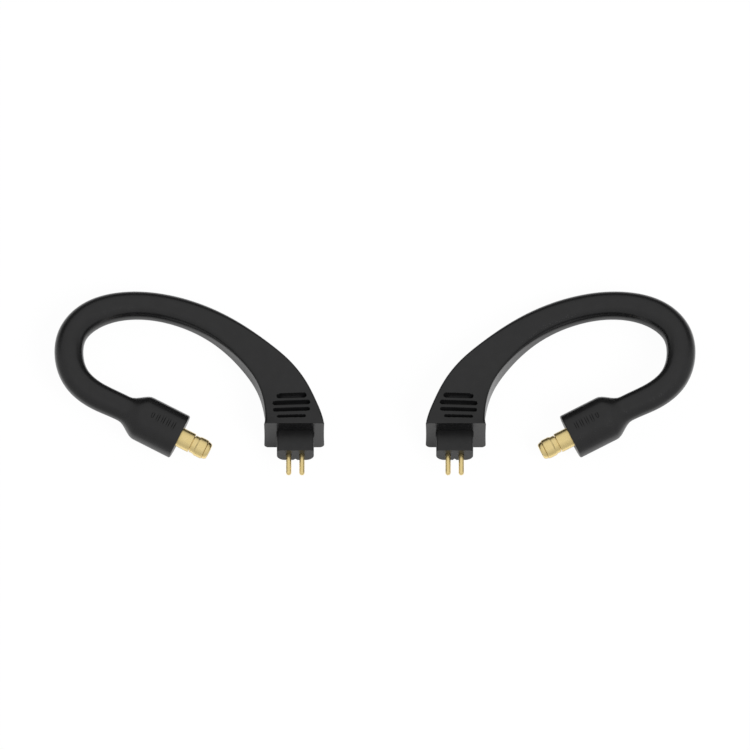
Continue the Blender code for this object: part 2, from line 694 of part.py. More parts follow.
def pieces():
    """(name, mesh, frame that it is modelled in, material, offset in that frame), for one hook."""
    soft_black = finish("soft_black_moulding", (0.022, 0.022, 0.023), 0.42)
    hard_black = finish("hard_black_plastic", (0.02, 0.02, 0.021), 0.3)
    gold = finish("gold_plating", (0.83, 0.66, 0.32), 0.22, 1.0)
    ivory = finish("ivory_insulator", (0.75, 0.72, 0.64), 0.5)
    clear_mould = finish("inner_mould_plastic", (0.35, 0.34, 0.3), 0.5)
    red = finish("signal_insulation", (0.35, 0.03, 0.02), 0.45)
    grey = finish("ground_insulation", (0.12, 0.12, 0.12), 0.45)
    yield "hook_cover", hook_cover(), "hook", soft_black, 0.0
    yield "two_pin_block", two_pin_block(), "two_pin", hard_black, 0.0
    pin = contact_pin()
    for name, x in pin_places().items():
        yield name, pin, "two_pin", gold, x
    yield "two_pin_inner_mould", two_pin_inner_mould(), "hook", clear_mould, 0.0
    yield "signal_wire", wire("signal"), "hook", red, 0.0
    yield "ground_wire", wire("ground"), "hook", grey, 0.0
    yield "plug_inner_mould", plug_inner_mould(), "hook", clear_mould, 0.0
    yield "plug_shell", plug_shell(), "plug", gold, 0.0
    yield "snap_ring", snap_ring(), "plug", gold, 0.0
    yield "plug_insulator", plug_insulator(), "plug", ivory, 0.0
    yield "plug_centre_pin", plug_centre_pin(), "plug", gold, 0.0


def place_pair():
    """Two hooks from one set of meshes, with the middle of the pair over the origin."""
    hooks = {}
    for side, mirror in (("left", 1), ("right", -1)):
        hook = frame_empty(side + "_hook")
        hook.scale.x = mirror
        hooks[side] = {
            "hook": hook,
            "two_pin": frame_empty(side + "_two_pin_axis", hook, two_pin_frame()),
            "plug": frame_empty(side + "_plug_axis", hook, plug_frame()),
        }
    for name, mesh, frame, material, offset in pieces():
        mesh.shade_smooth()
        mesh.set_sharp_from_angle(angle=SMOOTH_UNDER)
        mesh.materials.clear()
        mesh.materials.append(material)
        for side, frames in hooks.items():
            piece = bpy.data.objects.new(side + "_" + name, mesh)
            bpy.context.scene.collection.objects.link(piece)
            piece.parent = frames[frame]
            piece.location.x = offset * MM
    bpy.context.view_layer.update()
    solids = [piece for piece in bpy.data.objects if piece.type == "MESH"]
    reach = [(piece.matrix_world @ vertex.co).y for piece in solids for vertex in piece.data.vertices]
    for frames in hooks.values():
        frames["hook"].location.y = -(min(reach) + max(reach)) / 2
    bpy.context.view_layer.update()
    for side, frames in hooks.items():
        for name in ("two_pin", "plug"):
            matrix = frames[name].matrix_world
            print(side, name, "axis at", tuple(matrix.translation), "along", tuple(matrix.col[2][:3]))


def main():
    for leftover in list(bpy.data.objects):
        bpy.data.objects.remove(leftover)
    place_pair()


main()
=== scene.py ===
# %% [markdown]
# # A mirrored pair of moulded ear hooks
# Each hook is a black moulded arch that goes over the ear. Its thick squared end carries a plug with two
# contact pins, and its round boot carries a gold coaxial plug with a split snap ring that lets it turn.
# The packed model is loaded first and stays fixed. Every piece that shows is then made again, finer than
# the solids are, from the same sizes, and lies exactly where its solid lies.

# %% Load the fixed frame
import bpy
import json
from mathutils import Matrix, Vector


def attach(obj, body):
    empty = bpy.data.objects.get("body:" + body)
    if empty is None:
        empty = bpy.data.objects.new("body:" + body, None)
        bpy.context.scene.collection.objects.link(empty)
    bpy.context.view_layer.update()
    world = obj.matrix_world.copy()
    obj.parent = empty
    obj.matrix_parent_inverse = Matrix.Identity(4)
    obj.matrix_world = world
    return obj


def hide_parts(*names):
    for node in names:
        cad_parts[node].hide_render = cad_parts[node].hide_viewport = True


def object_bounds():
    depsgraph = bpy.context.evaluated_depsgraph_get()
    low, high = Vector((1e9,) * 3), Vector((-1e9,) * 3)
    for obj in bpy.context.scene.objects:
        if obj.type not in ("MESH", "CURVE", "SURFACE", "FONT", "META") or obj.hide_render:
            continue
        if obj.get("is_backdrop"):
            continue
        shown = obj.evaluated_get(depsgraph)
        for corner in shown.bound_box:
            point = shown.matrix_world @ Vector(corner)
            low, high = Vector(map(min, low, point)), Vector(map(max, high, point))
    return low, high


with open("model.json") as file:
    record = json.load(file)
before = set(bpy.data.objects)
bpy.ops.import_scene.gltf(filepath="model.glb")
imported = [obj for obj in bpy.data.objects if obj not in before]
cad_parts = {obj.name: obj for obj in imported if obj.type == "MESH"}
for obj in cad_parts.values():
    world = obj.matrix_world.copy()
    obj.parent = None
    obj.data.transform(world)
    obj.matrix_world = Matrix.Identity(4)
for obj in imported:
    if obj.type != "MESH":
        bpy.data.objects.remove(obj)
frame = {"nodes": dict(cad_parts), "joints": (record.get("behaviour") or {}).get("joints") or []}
CAD_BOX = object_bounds()

# %% Modules
import json
import math

import bmesh
import bpy
import numpy as np
from mathutils import Matrix, Vector

print("Blender", bpy.app.version_string)

# %% [markdown]
# ## Where the left hook lies
# Sizes are in millimetres, as a maker would read them, and become metres when a mesh is made. The left hook
# is worked out and the right one is its mirror image. The coaxial plug's axis could be typed in again, but
# the snap ring's joint in the frame already holds it, so it is read from there.

# %% Axis of the coaxial plug
MM = 0.001
JOINTS = {joint["name"]: joint for joint in frame["joints"]}
PLUG_AXIS = np.array(JOINTS["left_ring_turn"]["axis"])
BOOT_END = np.array(JOINTS["left_ring_turn"]["pos_m"]) / MM
BOOT_ABOVE_ZERO = 0.26
DRAWING_ZERO_Y = BOOT_END[1] - BOOT_ABOVE_ZERO  # the stations below are measured from here
print("boot's end face at", BOOT_END.round(2), "mm, plug along", PLUG_AXIS.round(3))

# %% [markdown]
# ## The hook's centre line
# The moulding is one smooth sweep whose section changes all the way: a rounded rectangle at the squared end,
# a round bar over the ear, and a round boot at the plug. A few stations, fitted to the outline in the
# photograph, give its place and size, and a cubic spline runs through them. A Bezier curve object with a
# taper could do this for a round bar, but it can't turn a rectangle into a circle, so the sections are
# placed along the spline in code.

# %% Stations along the hook
PAIR_GAP = 15.22  # between the two squared ends
BACK_LAND = 0.1  # how much of the round back is moulded flat, where it lies on the table
END_TILT = math.radians(7.5)
END_WIDTH = 9.08
NECK_RADIUS = 2.0
NECK_REACH = 9.58  # straight run that ends at the boot's end face
# x from the squared end's middle, y, rise of the back, width, depth, front corner radius, back corner radius
STATIONS = (
    (0.04, 0.48, 0.00, END_WIDTH, 7.40, 0.45, 0.80),
    (-0.34, 3.45, 0.00, 8.09, 6.60, 0.45, 0.75),
    (-1.52, 7.46, 0.00, 6.97, 5.70, 0.45, 0.70),
    (-3.09, 10.44, 0.00, 6.04, 5.15, 0.50, 0.70),
    (-5.19, 13.09, 0.00, 5.25, 4.70, 0.60, 0.80),
    (-10.89, 18.05, 0.00, 4.41, 4.40, 1.40, 1.70),
    (-18.85, 21.59, 0.00, 4.25, 4.25, 2.10, 2.12),
    (-23.60, 21.98, 0.50, 4.22, 4.30, 2.15, 2.15),
    (-30.93, 19.57, 1.50, 4.46, 4.35, 2.18, 2.18),
    (-33.10, 16.85, 2.09, 4.35, 4.38, 2.19, 2.19),
    (-33.76, 13.38, 2.70, 4.34, 4.40, 2.20, 2.20),
    (-32.40, 8.69, 3.30, 4.20, 4.30, 2.15, 2.15),
    (-29.74, 6.31, 3.30, 4.15, 4.15, 2.08, 2.08),
)
END_INWARDS = np.array((0.0, math.cos(END_TILT), -math.sin(END_TILT)))
print(len(STATIONS), "stations along the hook")

# %% [markdown]
# ## A smooth line
# A straight blend from station to station would leave a kink at each one. The smoothest cubic has no kinks in
# place, direction or bend. Its slopes at the stations come from one small set of linear equations, and the
# section's width, depth and corner radii run through the same spline as the place does.

# %% Slopes at the stations
def unit(vector):
    return vector / np.linalg.norm(vector)


def spline_slopes(knots, values, first_slope, last_slope):
    """Slopes at the knots of the smoothest cubic through the values, column by column."""
    count = len(knots)
    matrix = np.eye(count)
    right = np.zeros_like(values)
    right[0] = first_slope
    right[-1] = last_slope
    for i in range(1, count - 1):
        before = knots[i] - knots[i - 1]
        after = knots[i + 1] - knots[i]
        matrix[i, i - 1:i + 2] = after, 2 * (before + after), before
        rise_before = (values[i] - values[i - 1]) / before
        rise_after = (values[i + 1] - values[i]) / after
        right[i] = 3 * (after * rise_before + before * rise_after)
    return np.linalg.solve(matrix, right)


stairs = np.arange(4.0)
print("slopes along a straight rise:", spline_slopes(stairs, stairs[:, None], 1.0, 1.0).ravel().round(3))

# %% The centre line with its section sizes
UP = np.array((0.0, 0.0, 1.0))


class CentreLine:
    """The hook's centre line, from the end face (0) to the boot's end face (length), with section sizes."""

    def __init__(self):
        end_x = -(PAIR_GAP + END_WIDTH) / 2
        rows = [
            (end_x + x, DRAWING_ZERO_Y + y, rise + depth / 2 - BACK_LAND, width, depth, front, back)
            for x, y, rise, width, depth, front, back in STATIONS
        ]
        neck = BOOT_END - PLUG_AXIS * NECK_REACH
        rows.append((*neck, 2 * NECK_RADIUS, 2 * NECK_RADIUS, NECK_RADIUS, NECK_RADIUS))
        self.values = np.array(rows)
        chords = np.linalg.norm(np.diff(self.values[:, :3], axis=0), axis=1)
        self.knots = np.concatenate(([0.0], np.cumsum(chords)))
        first = (self.values[1] - self.values[0]) / chords[0]
        last = np.zeros(7)
        first[:3] = END_INWARDS
        last[:3] = PLUG_AXIS
        self.slopes = spline_slopes(self.knots, self.values, first, last)
        self.bend_end = self.knots[-1]
        self.length = self.bend_end + NECK_REACH

    def at(self, u):
        """(centre, direction, sizes) at a distance from the end face, straight past the bend's two ends."""
        if u <= 0 or u >= self.bend_end:
            i = 0 if u <= 0 else -1
            direction = self.slopes[i, :3]
            return self.values[i, :3] + direction * (u - self.knots[i]), direction, self.values[i, 3:]
        i = int(np.searchsorted(self.knots, u)) - 1
        span = self.knots[i + 1] - self.knots[i]
        t = (u - self.knots[i]) / span
        a, b = self.values[i], self.values[i + 1]
        p, q = span * self.slopes[i], span * self.slopes[i + 1]
        cubic = 2 * a - 2 * b + p + q
        square = 3 * b - 3 * a - 2 * p - q
        point = ((cubic * t + square) * t + p) * t + a
        slope = (3 * cubic * t + 2 * square) * t + p
        return point[:3], unit(slope[:3]), point[3:]


def across(direction):
    """Unit vectors to the outer side and to the front of a section whose normal is the direction."""
    outer = unit(np.cross(direction, UP))
    return outer, np.cross(outer, direction)


LINE = CentreLine()
END_CENTRE = LINE.at(0)[0]
print("centre line", round(LINE.length, 1), "mm long")

# %% [markdown]
# ## One section of the moulding
# A section is a rounded rectangle with its own radius on the front and back corners. An even spread of points
# would waste them on the flat back, so more of them go to the front, which carries the grip grooves, and to
# the corners, where the light turns. The squared end's sides bow in a little, as the real ones do.

# %% Rounded rectangle with points where they are needed
OUTLINE_POINTS = 160
CORNER_STEPS = 14
FRONT_SHARE = 4.0  # how much closer the points lie on the front than on the back
CORNER_SHARE = 3.0  # millimetres of outline that a turn of one radian is worth
ARC_MARGIN = math.radians(3)  # arcs stop short of 90 degrees, so that a full round has no doubled points


def rounded_rectangle(width, depth, front_radius, back_radius, steps):
    """Rows of (outer, front), from the outer side round over the front."""
    turn = np.linspace(ARC_MARGIN, math.pi / 2 - ARC_MARGIN, steps + 1)
    corners = ((1, 1, front_radius), (-1, 1, front_radius), (-1, -1, back_radius), (1, -1, back_radius))
    arcs = []
    for quarter, (side, face, radius) in enumerate(corners):
        radius = min(radius, width / 2, depth / 2)
        angle = turn + quarter * math.pi / 2
        outer = side * (width / 2 - radius) + radius * np.cos(angle)
        front = face * (depth / 2 - radius) + radius * np.sin(angle)
        arcs.append(np.stack((outer, front), axis=1))
    return np.concatenate(arcs)


def spread(outline, count):
    """Points along a closed outline, closer together where it faces the front or turns a corner."""
    closed = np.concatenate((outline, outline[:1]))
    steps = np.diff(closed, axis=0)
    lengths = np.hypot(steps[:, 0], steps[:, 1])
    facing_front = np.clip(-steps[:, 0] / lengths, 0, 1)
    heading = np.unwrap(np.arctan2(steps[:, 1], steps[:, 0]))
    weight = lengths * (1 + FRONT_SHARE * facing_front**2) + CORNER_SHARE * np.abs(np.gradient(heading))
    reached = np.concatenate(([0.0], np.cumsum(weight)))
    stops = np.linspace(0, reached[-1], count, endpoint=False)
    return np.stack([np.interp(stops, reached, closed[:, k]) for k in (0, 1)], axis=1)


END_SIZES = STATIONS[0][3:]
example = spread(rounded_rectangle(*END_SIZES, CORNER_STEPS), OUTLINE_POINTS)
front_count = int((example[:, 1] > END_SIZES[1] / 2 - END_SIZES[2]).sum())
print("a section has", len(example), "points,", front_count, "of them on the front")

# %% [markdown]
# ## Grip grooves
# Four slots with round ends lie across the front of the squared end, and five shorter ones across the boot.
# Cutting them with Booleans leaves knife-sharp edges. Here the section's own points are sunk instead, by a
# distance to each slot's outline that is smoothed over a narrow wall, which gives the rounded lips of a
# moulded groove.

# %% Depth of a groove at a point
# distance from the end face, length, width
END_GROOVES = ((1.36, 4.17, 0.42), (2.65, 5.4, 0.58), (3.97, 5.5, 0.7), (5.33, 4.37, 0.8))
END_GROOVE_SHIFT, END_GROOVE_DEPTH = -0.415, 0.45
BOOT_GROOVE_LENGTHS = (1.6, 1.7, 2.0, 1.5, 0.9)  # from the plug back
BOOT_GROOVE_FIRST, BOOT_GROOVE_PITCH = 1.55, 0.86
BOOT_GROOVE_WIDTH, BOOT_GROOVE_DEPTH = 0.36, 0.18
END_GROOVE_WALL, BOOT_GROOVE_WALL = 0.14, 0.20  # how wide the rounded walls are
GROOVE_RINGS = 0.07  # distance between rings where the squared end has its grooves
SLOPE_STEP = 0.5  # how far to each side the front's slope is measured


def smoothstep(x):
    x = np.clip(x, 0.0, 1.0)
    return x * x * (3 - 2 * x)


def front_at(u):
    """The middle of the front at a distance from the end face."""
    centre, direction, sizes = LINE.at(u)
    return centre + across(direction)[1] * sizes[1] / 2


def sunk(along, aside, length, width, wall):
    """0 outside a slot with round ends, 1 on its floor, with a rounded wall between."""
    past_end = np.maximum(np.abs(along) - (length - width) / 2, 0)
    outside = np.hypot(past_end, aside) - width / 2
    return smoothstep(0.5 - outside / wall)


def end_groove_frames():
    """(place, direction inwards, direction out, length, width) of each groove on the squared end."""
    frames = []
    for u, length, width in END_GROOVES:
        place = front_at(u)
        place[0] = END_CENTRE[0] + END_GROOVE_SHIFT
        inwards = unit((front_at(u + SLOPE_STEP) - front_at(u - SLOPE_STEP)) * (0, 1, 1))
        frames.append((place, inwards, np.cross((1, 0, 0), inwards), length, width))
    return frames


def with_end_grooves(ring, on_front):
    """The grooves lie straight across the pair, though the hook already bends, so they work in space."""
    ring = ring.copy()
    for place, inwards, out, length, width in END_GROOVE_FRAMES:
        away = ring - place
        drop = END_GROOVE_DEPTH * sunk(away[:, 0], away @ inwards, length, width, END_GROOVE_WALL)
        ring -= np.where(on_front, drop, 0)[:, None] * out
    return ring


def with_boot_grooves(points, before_end, radius):
    """Flat-bottomed slots in a round section."""
    points = points.copy()
    for middle, length in BOOT_GROOVES:
        over = np.maximum(points[:, 1] - (radius - BOOT_GROOVE_DEPTH), 0)
        share = sunk(points[:, 0], before_end - middle, length, BOOT_GROOVE_WIDTH, BOOT_GROOVE_WALL)
        points[:, 1] -= share * over
    return points


END_GROOVE_FRAMES = end_groove_frames()
BOOT_GROOVES = [
    (BOOT_GROOVE_FIRST + i * BOOT_GROOVE_PITCH, length) for i, length in enumerate(BOOT_GROOVE_LENGTHS)
]
print(len(END_GROOVES), "grooves on the squared end and", len(BOOT_GROOVES), "on the boot")

# %% [markdown]
# ## The moulded skin
# Rings of points follow the centre line about every half millimetre, and much closer in the grooves and on
# the rounded rims. An even spacing as fine as that would make several times the faces. The lowest points are
# pressed flat, because the hooks lie on their backs on the table.

# %% Rings along the hook
SIDE_WAIST, WAIST_FADE = 0.06, 12.0  # how far the squared end's sides bow in, and where that ends
END_RIM, BOOT_RIM = 0.1, 0.25
BOOT_RADIUS, BOOT_LENGTH, FLARE_LENGTH = 3.5, 6.2, 3.2
RING_STEP = 0.5
RIM_STEPS = 6
CLOSEST_RINGS = 0.015
WALL_RINGS = np.array((-0.5, -0.25, 0, 0.25, 0.5))  # across the wall of a groove on the boot


def rim_inset(distance, radius):
    """How far a rounded rim has drawn in at a distance from its end face."""
    if distance >= radius:
        return 0.0
    return radius - math.sqrt(radius**2 - (radius - distance) ** 2)


def groove_stops(middle):
    """Places for rings across a groove of the boot: along its two walls and its middle."""
    walls = middle - BOOT_GROOVE_WIDTH / 2 + BOOT_GROOVE_WALL * WALL_RINGS
    return [*walls, middle, *(2 * middle - walls)]


def skin_stops():
    rim = 1 - np.cos(np.linspace(0, math.pi / 2, RIM_STEPS + 1))
    stops = [*(END_RIM * rim), *(LINE.length - BOOT_RIM * rim)]
    stops += list(np.arange(END_RIM, LINE.length - BOOT_RIM, RING_STEP))
    first, last = END_GROOVES[0], END_GROOVES[-1]
    stops += list(np.arange(first[0] - first[2], last[0] + last[2], GROOVE_RINGS))
    for middle, _ in BOOT_GROOVES:
        stops += groove_stops(LINE.length - middle)
    stops.sort()
    kept = [stops[0]]
    for stop in stops[1:]:
        if stop - kept[-1] > CLOSEST_RINGS:
            kept.append(stop)
    kept[-1] = LINE.length
    return kept


def skin_ring(u):
    centre, direction, (width, depth, front, back) = LINE.at(u)
    before_end = LINE.length - u
    if u > LINE.bend_end:
        grown = smoothstep((BOOT_LENGTH + FLARE_LENGTH - before_end) / FLARE_LENGTH)
        front = back = NECK_RADIUS + (BOOT_RADIUS - NECK_RADIUS) * grown
        width = depth = 2 * front
    inset = rim_inset(u, END_RIM) + rim_inset(before_end, BOOT_RIM)
    width, depth = width - 2 * inset, depth - 2 * inset
    outline = rounded_rectangle(width, depth, front - inset, back - inset, CORNER_STEPS)
    points = spread(outline, OUTLINE_POINTS)
    waist = SIDE_WAIST * (1 - smoothstep(u / WAIST_FADE))
    points[:, 0] *= 1 - waist / (width / 2) * (1 - (2 * points[:, 1] / depth) ** 2)
    on_front = points[:, 1] > depth / 4
    if before_end < BOOT_LENGTH:
        points = with_boot_grooves(points, before_end, depth / 2)
    outer, out_front = across(direction)
    table = -(centre[2] + points[:, 0] * outer[2]) / out_front[2]
    points[:, 1] = np.maximum(points[:, 1], table)
    ring = centre + points[:, :1] * outer + points[:, 1:] * out_front
    return with_end_grooves(ring, on_front) if u < WAIST_FADE else ring


hook_rings = [skin_ring(u) for u in skin_stops()]
print(len(hook_rings), "rings of", OUTLINE_POINTS, "points")

# %% [markdown]
# Four-sided faces bridge each ring to the next, and one face closes each end, which makes a watertight skin.
# Bridge Edge Loops does the same by hand. The same helper makes the hooks' other pieces too, and joins the
# last ring to the first where a piece goes round a bore.

# %% Bridge the rings
def loft(name, rings, wrap=False):
    """A closed mesh through rings of points, with end faces, or with the last ring joined to the first."""
    bm = bmesh.new()
    rows = [[bm.verts.new(np.asarray(point) * MM) for point in ring] for ring in rings]
    pairs = list(zip(rows, rows[1:]))
    if wrap:
        pairs.append((rows[-1], rows[0]))
    else:
        bm.faces.new(rows[0])
        bm.faces.new(rows[-1])
    for one, two in pairs:
        for i in range(len(one)):
            bm.faces.new((one[i - 1], one[i], two[i], two[i - 1]))
    bmesh.ops.recalc_face_normals(bm, faces=bm.faces)
    mesh = bpy.data.meshes.new(name)
    bm.to_mesh(mesh)
    bm.free()
    return mesh


skin = loft("hook_skin", hook_rings)
print("skin:", len(skin.vertices), "points,", len(skin.polygons), "faces")

# %% [markdown]
# ## The space inside the moulding
# The real cover is moulded over the finished wiring, so it is hollow where the plug block, the two hard inner
# moulds, the wires and the coaxial plug lie. Two cutters have those shapes with a hair's clearance. The
# clearance shows as the thin dark line round each plug. An exact Boolean takes them out of the skin.

# %% Sizes of what the cover holds
FIT = 0.06  # clearance between pieces that are moulded or pressed together
PAST = 0.6  # how far a cutter runs past the face that it opens
BLOCK_SHIFT = 0.175
BLOCK = (5.55, 3.06, 0.55, 1.25)  # width, depth, front and back corner radius
FLANGE = (6.3, 4.2, 0.55, 1.25)
FLANGE_FRONT, FLANGE_BACK = -1.0, -2.2
END_MOULD = ((2.26, 4.4, 3.2), (4.3, 4.4, 3.2), (6.26, 2.7, 1.9))  # distance, width, depth
CHANNEL = (1.75, 0.86, 0.43, 0.43)
INNER_STRAIGHT, INNER_EASE = 4.3, 3.2
PLUG_MOULD_BACK = -6.2
END_MOULD_ROUNDING = 1 / 3  # corner radius as a share of the depth
CORE_CORNER_STEPS = 5
CHANNEL_STEP, CHANNEL_OVERLAP = 1.5, 1.0  # the wires' channel ends inside the plug's own space
NUDGE = 0.05  # how far to each side the inner line's direction is measured


def inner_at(u):
    """(centre, direction) of what runs inside: straight behind the block, then along the centre line."""
    outer, _ = across(END_INWARDS)

    def spot(v):
        eased = smoothstep((v - INNER_STRAIGHT) / INNER_EASE)
        straight = END_CENTRE + BLOCK_SHIFT * outer + END_INWARDS * v
        return (1 - eased) * straight + eased * LINE.at(v)[0]

    return spot(u), unit(spot(u + NUDGE) - spot(u - NUDGE))


def core_cutter():
    """The space for the plug block, its inner mould and the wires."""
    rows = [(-PAST, BLOCK), (-FLANGE_FRONT - FIT, BLOCK), (-FLANGE_FRONT - FIT, FLANGE)]
    rows.append((-FLANGE_BACK + FIT, FLANGE))
    for u, width, depth in END_MOULD:
        corner = depth * END_MOULD_ROUNDING
        rows.append((u, (width, depth, corner, corner)))
    start, stop = END_MOULD[-1][0], LINE.length + PLUG_MOULD_BACK + CHANNEL_OVERLAP
    rows += [(u, CHANNEL) for u in np.arange(start, stop, CHANNEL_STEP)]
    rings = []
    for u, (width, depth, front, back) in rows:
        centre, direction = inner_at(u)
        outer, out_front = across(direction)
        sizes = width + 2 * FIT, depth + 2 * FIT, front + FIT, back + FIT
        points = rounded_rectangle(*sizes, CORE_CORNER_STEPS)
        rings.append(centre + points[:, :1] * outer + points[:, 1:] * out_front)
    return loft("core_cutter", rings)


core = core_cutter()
print("space for the block and the wires:", len(core.polygons), "faces")

# %% [markdown]
# ## Turned pieces
# The coaxial plug's shell, its insulator, its centre contact and the contact pins are all turned on a lathe.
# A Screw modifier could spin their profiles. Placing the rings in code keeps them open to one more step: each
# corner of a profile gives way to a short curve, because no turned edge is really sharp, and it is that small
# round edge that catches the light.

# %% A lathe
BARREL_SIDES, PIN_SIDES = 72, 32
EDGE_STEPS = 3
EDGE_SHARE = 0.4  # the most of a side that a curve at its end takes


def softened(profile, radius, closed):
    """A profile with short curves for corners. An open profile keeps its two ends."""
    points = [np.array(point, float) for point in profile]
    result = []
    for i, corner in enumerate(points):
        if not closed and i in (0, len(points) - 1):
            result.append(corner)
            continue
        back, ahead = points[i - 1] - corner, points[(i + 1) % len(points)] - corner
        reach = min(radius, EDGE_SHARE * np.linalg.norm(back), EDGE_SHARE * np.linalg.norm(ahead))
        start, stop = corner + unit(back) * reach, corner + unit(ahead) * reach
        for t in np.linspace(0, 1, EDGE_STEPS + 1):
            result.append((1 - t) ** 2 * start + 2 * t * (1 - t) * corner + t**2 * stop)
    return result


def turned(name, profile, sides, hollow=False, middle=0.0):
    """A piece turned about local Z from (radius, height) pairs, solid or, if hollow, round a bore."""
    angle = np.linspace(0, 2 * math.pi, sides, endpoint=False)
    around = np.stack((np.cos(angle), np.sin(angle), np.zeros(sides)), axis=1)
    rings = [around * radius + (middle, 0, height) for radius, height in profile]
    return loft(name, rings, wrap=hollow)


TILE = ((1, 0), (1, 1), (0, 1), (0, 0))
print("a square with softened corners has", len(softened(TILE, EDGE_SHARE, True)), "points")

# %% [markdown]
# ## Where the plugs stand
# Each plug is drawn upright about its own axis and then set in its end of the hook. A matrix built from the
# axis and the direction to the front does that for both sides: the right side's directions are the left
# one's with x turned round, and the third direction follows, so that no piece is turned inside out.

# %% Places of the two plugs
SIDES = {"left": 1, "right": -1}  # which way x counts


def frame_matrix(origin, x_axis, y_axis, z_axis):
    columns = [(*x_axis, 0), (*y_axis, 0), (*z_axis, 0), (*(np.asarray(origin) * MM), 1)]
    return Matrix(columns).transposed()


def plug_matrix(side):
    """Local Y to the front of that side's boot, local Z out of its end face along the plug."""
    flip = np.array((SIDES[side], 1, 1))
    front = across(PLUG_AXIS)[1] * flip
    axis = PLUG_AXIS * flip
    return frame_matrix(BOOT_END * flip, np.cross(front, axis), front, axis)


def two_pin_matrix(side):
    """Local Y to the front of that side's squared end, local Z out of its end face along the pins."""
    flip = np.array((SIDES[side], 1, 1))
    outer, front = across(END_INWARDS)
    origin = END_CENTRE + BLOCK_SHIFT * outer
    return frame_matrix(origin * flip, np.cross(front, -END_INWARDS), front, -END_INWARDS)


print("left plug stands at", [round(x / MM, 2) for x in plug_matrix("left").translation], "mm")

# %% [markdown]
# ## Hollowing the cover
# The pocket for the coaxial plug is lathe work too. With it and the first cutter the skin is hollowed.
# Modelling the inner walls by hand would need the same shapes twice, and a Boolean follows any change to
# them by itself.

# %% Hollow the cover
BARREL_RADIUS, LOCK_RADIUS, PLUG_MOULD_RADIUS, PLUG_MOULD_TAIL = 1.50, 1.88, 2.3, 1.35
LOCK_FRONT, LOCK_BACK = -0.90, -1.95
PLUG_MOULD_SHOULDER = -4.4


def plug_pocket_cutter():
    """The space for the plug shell and its inner mould."""
    lock_front, lock_back = LOCK_FRONT + FIT, LOCK_BACK - FIT / 2
    profile = [
        (PLUG_MOULD_TAIL, PLUG_MOULD_BACK - FIT),
        (PLUG_MOULD_TAIL, PLUG_MOULD_BACK),
        (PLUG_MOULD_RADIUS, PLUG_MOULD_SHOULDER),
        (PLUG_MOULD_RADIUS, lock_back),
        (LOCK_RADIUS, lock_back),
        (LOCK_RADIUS, lock_front),
        (BARREL_RADIUS, lock_front),
        (BARREL_RADIUS, PAST),
    ]
    cutter = turned("plug_pocket_cutter", [(r + FIT, height) for r, height in profile], BARREL_SIDES)
    cutter.transform(plug_matrix("left"))
    return cutter


def carved(mesh, cutters):
    """The mesh with the cutters taken out of it, one after another."""
    blank = bpy.data.objects.new(mesh.name + "_blank", mesh)
    helpers = [bpy.data.objects.new(cutter.name, cutter) for cutter in cutters]
    for helper in [blank, *helpers]:
        bpy.context.scene.collection.objects.link(helper)
    for helper in helpers:
        modifier = blank.modifiers.new(helper.name, "BOOLEAN")
        modifier.operation = "DIFFERENCE"
        modifier.solver = "EXACT"
        modifier.object = helper
    graph = bpy.context.evaluated_depsgraph_get()
    result = bpy.data.meshes.new_from_object(blank.evaluated_get(graph))
    for helper in [blank, *helpers]:
        bpy.data.objects.remove(helper)
    return result


cover_mesh = carved(skin, [core, plug_pocket_cutter()])
print("cover:", len(cover_mesh.polygons), "faces after the two cuts")

# %% [markdown]
# ## Placing a piece
# A piece is shaded smooth except at real edges. A Weighted Normal modifier keeps large flat faces flat right
# up to their rounded rims. The right cover is a mirrored copy of the mesh with its faces turned back out,
# because an object with a negative scale would carry its normals the wrong way. Each piece rides on the body
# that carries it and hides the solid that it stands for.

# %% Put pieces in the frame
SMOOTH_UNDER = math.radians(32)
PIECES = {}


def mirrored(mesh):
    copy = mesh.copy()
    copy.transform(Matrix.Diagonal((-1, 1, 1, 1)))
    copy.flip_normals()
    return copy


def place(node, mesh, matrix, body, slot):
    """A new piece that stands for a CAD node of the same name."""
    mesh.shade_smooth()
    mesh.set_sharp_from_angle(angle=SMOOTH_UNDER)
    mesh.materials.clear()
    piece = bpy.data.objects.new("fine_" + node, mesh)
    bpy.context.scene.collection.objects.link(piece)
    piece.matrix_world = matrix
    shading = piece.modifiers.new("flat faces stay flat", "WEIGHTED_NORMAL")
    shading.keep_sharp = True
    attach(piece, body)
    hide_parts(node)
    PIECES[node] = piece
    return piece


HERE = Matrix.Identity(4)
place("left_hook_cover", cover_mesh, HERE, "hooks", "soft_black_moulding")
place("right_hook_cover", mirrored(cover_mesh), HERE, "hooks", "soft_black_moulding")
print("placed", list(PIECES))

# %% [markdown]
# ## The coaxial plug
# The shell is a turned tube: a nose with a broken edge, a seat for the snap ring, a barrel that goes into the
# boot, a flange that locks it in the moulding and a sleeve to solder to. Inside it an ivory bush holds a thin
# centre contact. All three are lathe work, so each is one profile.

# %% Shell, insulator and centre contact
METAL_EDGE = 0.05
NOSE_TIP, NOSE_TIP_RADIUS, NOSE_EDGE, NOSE_RADIUS = 4.88, 1.09, 0.14, 1.40
SEAT_FRONT, SEAT_BACK, SEAT_RADIUS = 4.28, 1.99, 1.13
SLEEVE_BACK, SLEEVE_RADIUS, SLEEVE_BORE = -2.80, 1.42, 1.02
BARREL_BORE, BORE_STEP, BORE_EDGE = 0.88, 0.70, 0.08
INSULATOR_FRONT, INSULATOR_BACK = 0.62, -2.20
CONTACT_RADIUS, CONTACT_TIP = 0.25, 4.1
TAIL_FRONT, TAIL_FLOOR, TAIL_BACK, TAIL_RADIUS, TAIL_BORE = -2.27, -2.7, -3.6, 0.42, 0.26
TIP_STEPS, TIP_START = 6, math.radians(8)


